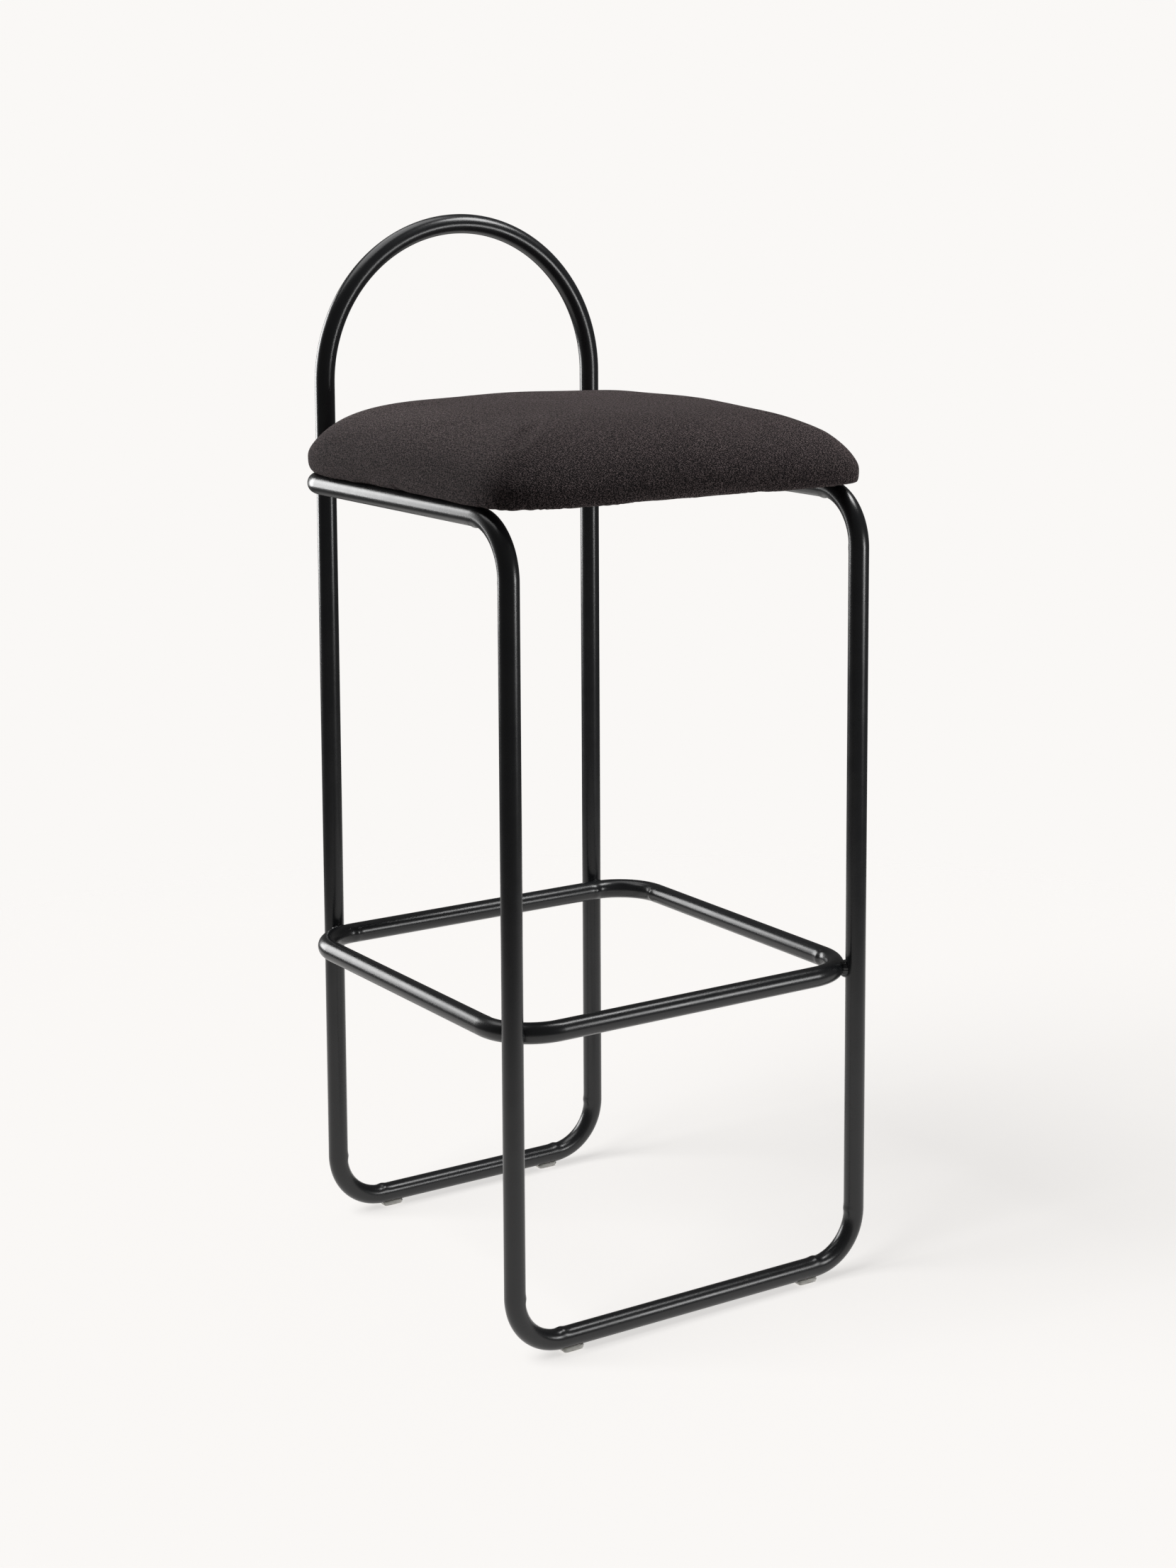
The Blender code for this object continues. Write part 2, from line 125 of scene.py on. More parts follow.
def finish_principled(material, inputs):
    """Gives a material a principled shader with these inputs."""
    return finish_material(material, add_node(material.node_tree, "ShaderNodeBsdfPrincipled", inputs=inputs))


def noise(tree, place, scale, detail, roughness, distortion=0.0, output="Fac"):
    """Fractal noise with as many cells in a metre as the scale says."""
    inputs = {"Vector": place, "Scale": scale, "Detail": detail, "Roughness": roughness}
    inputs["Distortion"] = distortion
    return add_node(tree, "ShaderNodeTexNoise", inputs=inputs).outputs[output]


def bump(tree, height, strength, distance, over=None):
    """Normal of a bump as high as the distance, laid over another bump where one is given."""
    inputs = {"Height": height, "Strength": strength, "Distance": distance}
    if over is not None:
        inputs["Normal"] = over
    return add_node(tree, "ShaderNodeBump", inputs=inputs).outputs["Normal"]


def mapped(tree, value, source, target, steps="LINEAR"):
    """Value carried from the source range to the target range and held at its ends."""
    names = ("Value", "From Min", "From Max", "To Min", "To Max")
    inputs = dict(zip(names, (value, *source, *target)))
    settings = {"interpolation_type": steps}
    return add_node(tree, "ShaderNodeMapRange", settings=settings, inputs=inputs).outputs["Result"]


def multiply_add(tree, value, factor, term, clamp=False):
    settings = {"operation": "MULTIPLY_ADD", "use_clamp": clamp}
    inputs = {0: value, 1: factor, 2: term}
    return add_node(tree, "ShaderNodeMath", settings=settings, inputs=inputs).outputs[0]


def vector_math(tree, operation, inputs, output="Vector"):
    settings = {"operation": operation}
    return add_node(tree, "ShaderNodeVectorMath", settings=settings, inputs=inputs).outputs[output]


def stretched(tree, place, scale, turn=0.0):
    """Coordinates turned about the vertical and stretched."""
    inputs = {"Vector": place, "Scale": scale, "Rotation": (0.0, 0.0, turn)}
    return add_node(tree, "ShaderNodeMapping", inputs=inputs).outputs["Vector"]


def ramp(tree, value, stops):
    """Colour ramp over (position, sRGB hex colour) stops."""
    node = add_node(tree, "ShaderNodeValToRGB", inputs={"Fac": value})
    elements = node.color_ramp.elements
    while len(elements) < len(stops):
        elements.new(0.5)
    for element, (position, colour) in zip(elements, stops):
        element.position = position
        element.color = linear(colour)
    return node.outputs["Color"]


def merge_close(obj, distance=1e-6):
    """Closes the seams and poles of a mesh whose edges lie on each other, and turns its faces outwards."""
    shape = bmesh.new()
    shape.from_mesh(obj.data)
    bmesh.ops.remove_doubles(shape, verts=shape.verts, dist=distance)
    bmesh.ops.dissolve_degenerate(shape, edges=shape.edges, dist=distance / 2)
    bmesh.ops.recalc_face_normals(shape, faces=shape.faces)
    shape.to_mesh(obj.data)
    shape.free()


def grid_faces(rows, columns, wrap_rows=False, wrap_columns=False, offset=0):
    """Quads between neighbours of a rows x columns grid of points, as an array of four indices each."""
    index = offset + np.arange(rows * columns).reshape(rows, columns)
    if wrap_rows:
        index = np.vstack([index, index[:1]])
    if wrap_columns:
        index = np.hstack([index, index[:, :1]])
    quads = np.stack([index[:-1, :-1], index[:-1, 1:], index[1:, 1:], index[1:, :-1]], axis=-1)
    return quads.reshape(-1, 4)


def two_sheets(rows):
    """Quads of two square sheets of points, the second one facing the other way."""
    return np.vstack([grid_faces(rows, rows), grid_faces(rows, rows, offset=rows**2)[:, ::-1]])


def raised(plan, height):
    """Points over a plan at the given heights, one to a row."""
    return np.concatenate([plan, height[..., None]], axis=-1).reshape(-1, 3)


def add_surface(name, points, faces, material, uv=None):
    """Makes a smooth-shaded object of points and quads held in arrays, with an optional UV for each point."""
    mesh = bpy.data.meshes.new(name)
    mesh.vertices.add(len(points))
    mesh.vertices.foreach_set("co", np.asarray(points, np.float32).ravel())
    mesh.loops.add(faces.size)
    mesh.loops.foreach_set("vertex_index", faces.astype(np.int32).ravel())
    mesh.polygons.add(len(faces))
    mesh.polygons.foreach_set("loop_start", np.arange(0, faces.size, 4, dtype=np.int32))
    mesh.polygons.foreach_set("loop_total", np.full(len(faces), 4, np.int32))
    mesh.update(calc_edges=True)
    if uv is not None:
        layer = mesh.uv_layers.new(name="cloth")
        layer.data.foreach_set("uv", np.asarray(uv, np.float32)[faces.ravel()].ravel())
    mesh.validate()
    mesh.materials.append(material)
    obj = bpy.data.objects.new(name, mesh)
    bpy.context.scene.collection.objects.link(obj)
    merge_close(obj)
    mesh.shade_smooth()
    return obj


def place_piece(obj, slot, *nodes):
    """Rides the piece on the stool's one body and hides the CAD nodes it stands for."""
    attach(obj, "root")
    if nodes:
        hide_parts(*nodes)
    return obj


def paint_node(name, material):
    """Gives a CAD node that stays its finished material."""
    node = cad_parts[name]
    node.data.materials.clear()
    node.data.materials.append(material)


# ---------------------------------------------------------------- materials


def powder_coat(settings):
    """Polyester powder coat on mild steel, satin black.

    The powder flows into a skin with a faint orange peel, so a highlight is a soft streak with a slightly
    rippled edge.  The peel is about 2 mm from crest to crest, the fine texture about 0.4 mm.
    """
    material, tree, place = new_material("satin_black_powder_coat")
    peel = noise(tree, place, scale=480.0, detail=2.0, roughness=0.5)
    fine = noise(tree, place, scale=2600.0, detail=1.0, roughness=0.5)
    patch = noise(tree, place, scale=42.0, detail=3.0, roughness=0.6)
    peeled = bump(tree, peel, strength=0.35, distance=0.00002)
    normal = bump(tree, fine, strength=0.15, distance=0.00001, over=peeled)
    low, high = settings.coat_roughness - 0.03, settings.coat_roughness + 0.03
    inputs = {
        "Base Color": linear(settings.coat_colour),
        "Roughness": mapped(tree, patch, (0.3, 0.7), (low, high)),
        "IOR": 1.5,
        "Normal": normal,
    }
    return finish_principled(material, inputs)


def wool_boucle(settings):
    """Charcoal wool bouclé, woven from looped yarn in close shades.

    The loops give a pebbled surface, drawn out across the seat, with painted shade in its colour: darker in
    the pits between loops and lighter on the crowns.  The loose fibres give it a soft sheen at grazing
    angles.  A loop is about 1 mm by 1.8 mm.
    """
    material, tree, place = new_material("charcoal_wool_boucle")
    cloth = add_node(tree, "ShaderNodeUVMap", settings={"uv_map": "cloth"}).outputs["UV"]
    drift = noise(tree, place, scale=260.0, detail=2.0, roughness=0.6, output="Color")
    wander = (0.0006, 0.0006, 0.0)
    shift = vector_math(tree, "MULTIPLY_ADD", {0: drift, 1: wander, 2: cloth})
    loops_per_metre = (settings.loop_stretch / settings.loop_size, 1.0 / settings.loop_size, 1.0)
    loops = add_node(
        tree,
        "ShaderNodeTexVoronoi",
        settings={"feature": "SMOOTH_F1", "voronoi_dimensions": "2D"},
        inputs={
            "Vector": stretched(tree, shift, loops_per_metre),
            "Scale": 1.0,
            "Smoothness": 0.4,
            "Randomness": 0.8,
        },
    )
    fibre = noise(tree, place, scale=1900.0, detail=3.0, roughness=0.65)
    mottle = noise(tree, place, scale=520.0, detail=4.0, roughness=0.72)
    cloud = noise(tree, place, scale=14.0, detail=2.0, roughness=0.5)
    crown = mapped(tree, loops.outputs["Distance"], (0.12, 0.62), (1.0, 0.0), "SMOOTHSTEP")
    yarn = multiply_add(tree, mottle, factor=2.6, term=-1.16)
    # Painted shade: the crown darkens the colour in the pits between the loops and lightens it on their tops;
    # the mottle is the yarn's own colour.
    pit_shade_and_yarn_tone = multiply_add(tree, crown, factor=0.75, term=yarn, clamp=True)
    fuzz = mapped(tree, pit_shade_and_yarn_tone, (0.0, 1.0), (settings.fuzz * 0.2, settings.fuzz * 1.9))
    stops = [(0.0, settings.dark_yarn), (0.55, settings.mid_yarn), (1.0, settings.light_yarn)]
    colour = ramp(tree, pit_shade_and_yarn_tone, stops)
    tone = mapped(tree, cloud, (0.3, 0.7), (0.93, 1.07))
    looped = bump(tree, crown, strength=0.9, distance=0.0004)
    inputs = {
        "Base Color": vector_math(tree, "SCALE", {"Vector": colour, "Scale": tone}),
        "Roughness": 0.95,
        "Specular IOR Level": 0.15,
        "Sheen Weight": fuzz,
        "Sheen Roughness": 0.39,
        "Sheen Tint": linear("#8d807f"),
        "Normal": bump(tree, fibre, strength=0.6, distance=0.00018, over=looped),
    }
    return finish_principled(material, inputs)


def spunbond_lining(settings):
    """Black spunbond polypropylene lining, bonded in a grid of small points.

    Thin and matt, with a grid of pressed dots about 1.6 mm apart that catch a little light.
    """
    material, tree, place = new_material("black_spunbond_lining")
    dots = add_node(
        tree,
        "ShaderNodeTexVoronoi",
        settings={"voronoi_dimensions": "2D"},
        inputs={
            "Vector": stretched(tree, place, (620.0, 620.0, 0.0), turn=math.radians(45)),
            "Scale": 1.0,
            "Randomness": 0.0,
        },
    )
    fibres = noise(tree, place, scale=900.0, detail=4.0, roughness=0.7, distortion=1.5)
    inputs = {
        "Base Color": ramp(tree, fibres, [(0.3, "#0d0d0d"), (0.75, settings.lining_colour)]),
        "Roughness": 0.85,
        "Specular IOR Level": 0.3,
        "Normal": bump(tree, dots.outputs["Distance"], strength=0.7, distance=0.0002),
    }
    return finish_principled(material, inputs)


def zinc_plate():
    """Bright zinc plate on turned steel: a grey metal with a fine grain and faint warm stains."""
    material, tree, place = new_material("bright_zinc_plated_steel")
    grain = noise(tree, place, scale=3000.0, detail=2.0, roughness=0.6)
    stain = noise(tree, place, scale=350.0, detail=3.0, roughness=0.6)
    inputs = {
        "Base Color": ramp(tree, stain, [(0.35, "#aeb1b5"), (0.7, "#c9c8c2")]),
        "Metallic": 1.0,
        "Roughness": 0.32,
        "Normal": bump(tree, grain, strength=0.4, distance=0.00003),
    }
    return finish_principled(material, inputs)


def frosted_polypropylene(settings):
    """Natural polypropylene, injection moulded: milky and half clear, with a soft sheen."""
    material, tree, place = new_material("natural_moulded_polypropylene")
    cloud = noise(tree, place, scale=220.0, detail=2.0, roughness=0.5)
    spark = noise(tree, place, scale=2400.0, detail=1.0, roughness=0.5)
    inputs = {
        "Base Color": ramp(tree, cloud, [(0.3, "#c9c8c3"), (0.7, settings.glide_colour)]),
        "Roughness": 0.35,
        "IOR": 1.49,
        "Transmission Weight": 0.55,
        "Normal": bump(tree, spark, strength=0.3, distance=0.00005),
    }
    return finish_principled(material, inputs)


def birch_plywood():
    """Birch plywood, rotary cut and sanded: long pale grain on the faces and 1.3 mm plies on the edge."""
    material, tree, place = new_material("sanded_birch_plywood")
    along = stretched(tree, place, (12.0, 150.0, 12.0))
    grain = noise(tree, along, scale=1.0, detail=5.0, roughness=0.6)
    plies = add_node(
        tree,
        "ShaderNodeTexWave",
        settings={"bands_direction": "Z"},
        inputs={"Vector": place, "Scale": 120.0, "Distortion": 0.4},
    )
    mixed = multiply_add(tree, plies.outputs["Fac"], factor=0.25, term=grain)
    colour = ramp(tree, mixed, [(0.35, "#b98f5f"), (0.9, "#e2c596")])
    return finish_principled(material, {"Base Color": colour, "Roughness": 0.6})


# ---------------------------------------------------------------- shapes

STRAIGHT_STEP, BEND_STEP = 0.012, 0.0018  # between rings on a straight and within a bend
NEAR_RUN, NEAR_RINGS = 0.010, 9  # straight beside a bend that has close rings too
FLATTENING_RUN = 0.008  # over which a bend's flattening comes in
BEAD_SIZES = (0.0078, 0.0070, 0.0078)  # half sizes of a weld bead


def smooth_step(value, low, high):
    share = np.clip((value - low) / (high - low), 0, 1)
    return share * share * (3 - 2 * share)


def turned(vector, axis, angle):
    """Rodrigues' rotation of one vector about a unit axis, for a whole array of angles."""
    angle = angle[:, None]
    return (
        vector * np.cos(angle)
        + np.cross(axis, vector) * np.sin(angle)
        + axis * (axis @ vector) * (1 - np.cos(angle))
    )


def bend_samples(before, arc, after):
    """Distances along one bend and the half straights beside it, close together in and near the bend."""
    straight_in = np.arange(-before, -NEAR_RUN, STRAIGHT_STEP)
    close_in = np.linspace(-min(NEAR_RUN, before), 0, NEAR_RINGS)[:-1]
    inside = np.linspace(0, arc, round(arc / BEND_STEP) + 1)
    close_out = np.linspace(arc, arc + min(NEAR_RUN, after), NEAR_RINGS)[1:]
    straight_out = np.arange(arc + NEAR_RUN + STRAIGHT_STEP, arc + after - STRAIGHT_STEP / 2, STRAIGHT_STEP)
    return np.concatenate([straight_in, close_in, inside, close_out, straight_out])


def bent_tube(name, corners, start_normal, settings, material):
    """Closed tube bent at its corners, each given as (point, bend radius).

    Along a bend, the axis is the bend's centre plus the starting arm turned about the bend's axis by
    distance / radius; on the straights it runs on along the end directions.  The section is a circle whose
    radius swells by a small bump where the former's jaw gripped the inner side at each end of the bend,
    and is drawn in slightly on the inner and outer side within the bend.  A wide bend is rolled, without
    either.
    """
    points = np.array([corner for corner, _ in corners])
    radii = np.array([radius for _, radius in corners])
    ahead = np.roll(points, -1, 0) - points
    lengths = np.linalg.norm(ahead, axis=1)
    ahead /= lengths[:, None]
    behind = np.roll(ahead, 1, 0)
    angles = np.arccos(np.clip((behind * ahead).sum(1), -1, 1))
    setback = radii * np.tan(angles / 2)
    half_after = (lengths - setback - np.roll(setback, -1)) / 2
    half_before = np.roll(half_after, 1)

    around = np.linspace(0, 2 * math.pi, settings.tube_sides, endpoint=False)
    normal = np.array(start_normal, float)
    rings = []
    for k, corner in enumerate(points):
        axis = np.cross(behind[k], ahead[k])
        axis /= np.linalg.norm(axis)
        start = corner - behind[k] * setback[k]
        arm = np.cross(behind[k], axis) * radii[k]
        centre = start - arm
        arc = radii[k] * angles[k]
        along = bend_samples(half_before[k], arc, half_after[k])
        angle = np.clip(along, 0, arc) / radii[k]
        middle = centre + turned(arm, axis, angle)
        middle += behind[k] * np.minimum(along, 0)[:, None] + ahead[k] * np.maximum(along - arc, 0)[:, None]
        forward = turned(behind[k], axis, angle)
        inner = -turned(arm / radii[k], axis, angle)
        side = turned(normal, axis, angle)
        other = np.cross(forward, side)
        direction = np.cos(around)[:, None] * side[:, None, :] + np.sin(around)[:, None] * other[:, None, :]
        facing = np.einsum("rsk,rk->rs", direction, inner)
        gripped = float(radii[k] < ROLLED_RADIUS)
        jaw = gripped * np.exp(-((along / settings.jaw_length) ** 2))
        jaw += gripped * np.exp(-(((along - arc) / settings.jaw_length) ** 2))
        inside = gripped * np.clip(along / FLATTENING_RUN, 0, 1)
        inside *= np.clip((arc - along) / FLATTENING_RUN, 0, 1)
        radius = TUBE_RADIUS + settings.jaw_mark * jaw[:, None] * np.clip(facing, 0, 1) ** 3
        radius -= settings.bend_flattening * inside[:, None] * facing**2
        rings.append(middle[:, None, :] + radius[:, :, None] * direction)
        normal = turned(normal, axis, angles[k : k + 1])[0]
    rings = np.concatenate(rings)
    rows, columns = rings.shape[:2]
    faces = grid_faces(rows, columns, wrap_rows=True, wrap_columns=True)
    return add_surface(name, rings.reshape(-1, 3), faces, material)


def weld_bead(name, place, turn, half_sizes, ripples, material):
    """Weld bead: a flattened ball whose radius rises and falls along the run of the torch.

    The ball is the unit sphere by height and angle, times one plus a ripple and a lump in the angle that
    fade towards the two poles, times the half sizes, turned about the vertical and moved to its place.
    """
    rows, columns = 29, 84
    ripple_height, lump_height = 0.022, 0.05
    rise = np.linspace(-math.pi / 2, math.pi / 2, rows)[:, None]
    around = np.linspace(0, 2 * math.pi, columns, endpoint=False)[None, :]
    ripple = ripple_height * np.sin(ripples * around + 1.5 * np.sin(2 * around) + 0.8 * rise)
    lump = lump_height * np.sin(3 * around + 0.7) * np.cos(2 * rise)
    radius = 1 + (ripple + lump) * np.cos(rise)
    # The pole lies along the joint's own direction, so that the ripples run round the joint.
    ball = np.stack(
        [
            radius * np.cos(rise) * np.cos(around),
            radius * np.sin(rise) * np.ones_like(around),
            radius * np.cos(rise) * np.sin(around),
        ],
        axis=-1,
    ) * np.array(half_sizes)
    cosine, sine = math.cos(turn), math.sin(turn)
    spin = np.array([[cosine, -sine, 0], [sine, cosine, 0], [0, 0, 1]])
    points = ball.reshape(-1, 3) @ spin.T + np.array(place)
    return add_surface(name, points, grid_faces(rows, columns, wrap_columns=True), material)


def revolved(name, profile, place, sides, material):
    """Turned piece: a profile of (radius, height) carried round the vertical axis through its place."""
    profile = np.array(profile)
    around = np.linspace(0, 2 * math.pi, sides, endpoint=False)
    points = np.stack(
        [
            profile[:, :1] * np.cos(around),
            profile[:, :1] * np.sin(around),
            np.repeat(profile[:, 1:], sides, axis=1),
        ],
        axis=-1,
    ).reshape(-1, 3) + np.array(place)
    return add_surface(name, points, grid_faces(len(profile), sides, wrap_columns=True), material)


def square_reach(u, v, squareness):
    """Share of the way out on the square grid, and the factor from there to the superellipse.

    The share is the larger of the two sizes.  The factor is (|u|^n + |v|^n)^(-1/n) at the square's rim
    in the same direction, where n is the squareness; the middle, which has no direction, takes 1.
    """
    share = np.maximum(np.abs(u), np.abs(v))
    safe = np.where(share > 0, share, 1.0)
    rim = (np.abs(u) / safe) ** squareness + (np.abs(v) / safe) ** squareness
    return share, np.where(share > 0, np.maximum(rim, 1.0), 1.0) ** (-1 / squareness)


def glide_block(name, low, high, settings, material):
    """Saddle block under a floor rail: a rounded slab whose top follows the tube.

    In plan it is a superellipse; its underside is flat and curves up at the edge; its top is the tube's
    own cylinder, lowered by the gap, and it levels off at the lips beside the tube.
    """
    half = (high - low) / 2
    middle = (high + low) / 2
    rows = 25
    lip, gap = settings.glide_lip, 0.0002
    top_rounding, base_rounding, rim_drop = 0.0008, 0.0012, 0.0013
    grid = np.linspace(-1, 1, rows)
    u, v = np.meshgrid(grid, grid, indexing="ij")
    share, reach = square_reach(u, v, squareness=7.0)
    x, y = u * reach * half[0], v * reach * half[1]
    saddle = FLOOR_RAIL_Z - np.sqrt(np.maximum((TUBE_RADIUS + gap) ** 2 - y**2, 0))
    top = np.minimum(saddle, lip) - top_rounding * share**10
    bottom = base_rounding * (1 - np.sqrt(np.maximum(1 - share**8, 0)))
    edge = share > 1 - 1e-9
    top = np.where(edge, lip - rim_drop, top)
    bottom = np.where(edge, lip - rim_drop, bottom)
    plan = np.stack([x + middle[0], y + middle[1]], axis=-1)
    points = np.vstack([raised(plan, top), raised(plan, bottom)])
    return add_surface(name, points, two_sheets(rows), material)


# ---------------------------------------------------------------- cushion

UNDERSIDE_SHOULDER, UNDERSIDE_FALL = 14, 3.8
FORWARD_LIP = 0.001  # how far the front of the base hangs below the rest
GIRTH = 1.46  # way round the seat's side
LINING_GAP, LINING_FOLD, LINING_THICKNESS = 0.0003, 0.0004, 0.0005
STAPLE_WIRE = 0.0005


def rail_bearing(plan, bend):
    """Height of the underside where the foam spreads over the seat rails and the tube behind.

    Their axis is a rounded rectangle, open to the front, and its distance field tells how far out a point
    lies.  The underside is level above the tube, then rises outwards along a quarter circle, and is far
    above everything inside the rails, near the widest line and past the rails' front bends.
    """
    side = np.abs(plan[..., 0]) - (FRONT_SIDE - bend)
    rear = plan[..., 1] - (INNER_REAR_Y - bend)
    beyond = np.hypot(np.maximum(side, 0), np.maximum(rear, 0))
    distance = beyond + np.minimum(np.maximum(side, rear), 0) - bend
    level, bulge, lift = 0.001, 0.010, 0.05
    outwards = np.maximum(distance - level, 0)
    rise = bulge - np.sqrt(np.maximum(bulge**2 - np.minimum(outwards, bulge) ** 2, 0))
    clear = smooth_step(-plan[..., 1], 0.128, 0.165) + smooth_step(-distance, 0.002, 0.02)
    clear += smooth_step(outwards, 0.006, 0.011)
    return COVER_LOW.z + rise + lift * clear


def cushion_sheets(settings):
    """Points, faces and flat-cloth UVs of the cushion's resting form.

    The plan is a superellipse.  With the share of the way from the middle to the widest line running from
    0 to 1, the top rises above that line by crown * (1 - share^shoulder)^(1/fall), and the underside drops
    below it by the depth in the same way and is cut off flat where it rests.  The corners are pulled down
    by the corner drop times the square of share * sin(2 * angle), and the whole rises to the rear.  Grid
    lines are spaced by the length of the profile, and the flat cloth keeps that length from the middle.
    """
    half = np.array([COVER_HIGH.x + settings.ease, (COVER_HIGH.y - COVER_LOW.y) / 2])
    middle = np.array([0.0, (COVER_HIGH.y + COVER_LOW.y) / 2])
    grid = np.linspace(-1, 1, settings.cells + 1)
    u, v = np.meshgrid(grid, grid, indexing="ij")
    step, reach = square_reach(u, v, settings.squareness)
    twice = 2 * u * v / np.maximum(u**2 + v**2, 1e-9)
    fine = np.linspace(0, 1, 4001)
    profiles = (
        (settings.crown, settings.crown_shoulder, settings.crown_fall),
        (-settings.underside_depth, UNDERSIDE_SHOULDER, UNDERSIDE_FALL),
    )
    sheets, flats = [], []
    for sheet, (rise, shoulder, fall) in enumerate(profiles):
        profile = rise * np.maximum(0, 1 - fine**shoulder) ** (1 / fall)
        length = np.concatenate([[0], np.cumsum(np.hypot(np.diff(fine) * half[0], np.diff(profile)))])
        share = np.interp(step, length / length[-1], fine)
        unit = np.where(step > 0, share / np.maximum(step, 1e-9), 0.0) * reach
        plan = middle + np.stack([u * unit * half[0], v * unit * half[1]], axis=-1)
        height = settings.edge_height + np.interp(share, fine, profile)
        height -= settings.corner_drop * (share * twice) ** 2
        height += settings.rear_slope * (plan[..., 1] - middle[1])
        if rise < 0:
            front = FORWARD_LIP * smooth_step(-plan[..., 1], 0.15, 0.19)
            height = np.maximum(height, COVER_LOW.z - front)
            height = np.minimum(height, rail_bearing(plan, settings.rail_bend))
        sheets.append(raised(plan, height))
        flat = np.stack([u, v], axis=-1) * reach[..., None] * length[-1]
        flats.append((flat + sheet).reshape(-1, 2))
    return np.vstack(sheets), two_sheets(settings.cells + 1), np.vstack(flats)


def read_vectors(mesh, what="co"):
    vectors = np.empty(len(mesh.vertices) * 3, np.float32)
    mesh.vertices.foreach_get(what, vectors)
    return vectors.reshape(-1, 3).astype(float)


def write_points(mesh, points):
    mesh.vertices.foreach_set("co", points.astype(np.float32).ravel())
    mesh.update()


def apply_modifiers(obj):
    """Makes the evaluated shape the object's own mesh and clears its modifiers."""
    evaluated = obj.evaluated_get(bpy.context.evaluated_depsgraph_get())
    mesh = bpy.data.meshes.new_from_object(evaluated)
    obj.modifiers.clear()
    old = obj.data
    obj.data = mesh
    bpy.data.meshes.remove(old)
    obj.data.shade_smooth()


def tuck(points, normals, settings):
    """Moves the cover's points for its puckers, by the way round the seat and the height.

    Each pucker is a groove that starts at the lower edge, where the cloth is pulled under the board, and
    dies out upwards.  Pitch, depth and lean change on the way round by sums and products of sines, and the
    grooves are deeper and longer near the corners.
    """
    middle_y = (COVER_HIGH.y + COVER_LOW.y) / 2
    x = points[:, 0] / COVER_HIGH.x
    y = (points[:, 1] - middle_y) / ((COVER_HIGH.y - COVER_LOW.y) / 2)
    angle = np.arctan2(y, x)
    way = angle / (2 * math.pi) * GIRTH
    height = points[:, 2] - COVER_LOW.z
    outermost = np.maximum(np.abs(x), np.abs(y))
    corner = np.minimum(np.abs(x), np.abs(y)) / np.maximum(outermost, 1e-9)
    near_corner = smooth_step(corner, 0.72, 0.97)
    outer = smooth_step(outermost, 0.86, 0.97)
    reach = settings.pucker_height * (1 + 0.9 * near_corner) * (1 + 0.35 * np.sin(way * 61 + 1.0))
    fade = np.clip(1 - height / reach, 0, 1) ** 1.5 * outer
    lean = height * (0.6 * np.sin(way * 43) + 0.3)
    phase = (way + lean) / settings.pucker_pitch
    phase = phase + 0.55 * np.sin(way * 97 + 0.4) + 0.35 * np.sin(way * 173 + 1.9)
    groove = (0.5 + 0.5 * np.cos(2 * math.pi * phase)) ** 1.6
    strength = 0.45 + 0.55 * np.sin(way * 31 + 2.1) * np.sin(way * 53 + 0.6)
    strength = np.clip(strength, 0.1, 1) * settings.pucker_depth * (1 + 1.6 * near_corner)
    moved = points - normals * (strength * groove * fade)[:, None]
    # The lower edge waves a little, because the cloth is pulled down between staples.
    wave = 0.0006 * np.sin(way * 58 + 0.8) + 0.0004 * np.sin(way * 131 + 2.0)
    edge = np.exp(-(((height - 0.004) / 0.005) ** 2)) * outer
    moved[:, 2] += wave * edge
    return moved


def inflate(cushion, settings):
    """Cloth simulation of the cover under the foam's pressure, with the part under the board held still.

    No point moves further than the cap, and the result replaces the mesh.
    """
    rest = read_vectors(cushion.data)
    last = 20
    held = rest[:, 2] < COVER_LOW.z + 0.0008
    group = cushion.vertex_groups.new(name="under_board")
    group.add(np.flatnonzero(held).tolist(), 1.0, "REPLACE")
    modifier = cushion.modifiers.new("cover_cloth", "CLOTH")
    cloth = modifier.settings
    cloth.quality = 6
    cloth.mass = 0.3
    cloth.tension_stiffness = 30
    cloth.compression_stiffness = 20
    cloth.shear_stiffness = 12
    cloth.bending_stiffness = 1.2
    cloth.use_pressure = True
    cloth.uniform_pressure_force = settings.pressure
    cloth.effector_weights.gravity = 0
    cloth.vertex_group_mass = group.name
    scene = bpy.context.scene
    scene.frame_start, scene.frame_end = 1, last
    modifier.point_cache.frame_start, modifier.point_cache.frame_end = 1, last
    for step in range(1, last + 1):
        scene.frame_set(step)
    evaluated = cushion.evaluated_get(bpy.context.evaluated_depsgraph_get())
    pushed = read_vectors(evaluated.data)
    cushion.modifiers.clear()
    cushion.vertex_groups.clear()
    scene.frame_set(1)
    move = pushed - rest
    size = np.linalg.norm(move, axis=1, keepdims=True)
    move *= np.minimum(1, settings.swell_cap / np.maximum(size, 1e-9))
    write_points(cushion.data, rest + move)


# ---------------------------------------------------------------- settings


def metres(name, description, default):
    return FloatProperty(name=name, description=description, default=default, unit="LENGTH")


def number(name, description, default):
    return FloatProperty(name=name, description=description, default=default)


def portion(name, description, default):
    return FloatProperty(name=name, description=description, default=default, subtype="FACTOR")


def watts(name, description, default):
    return FloatProperty(name=name, description=description, default=default, unit="POWER")


def whole(name, description, default, low, high):
    return IntProperty(name=name, description=description, default=default, min=low, max=high)


def tint(name, default):
    return StringProperty(name=name, description="sRGB hex colour", default=default)


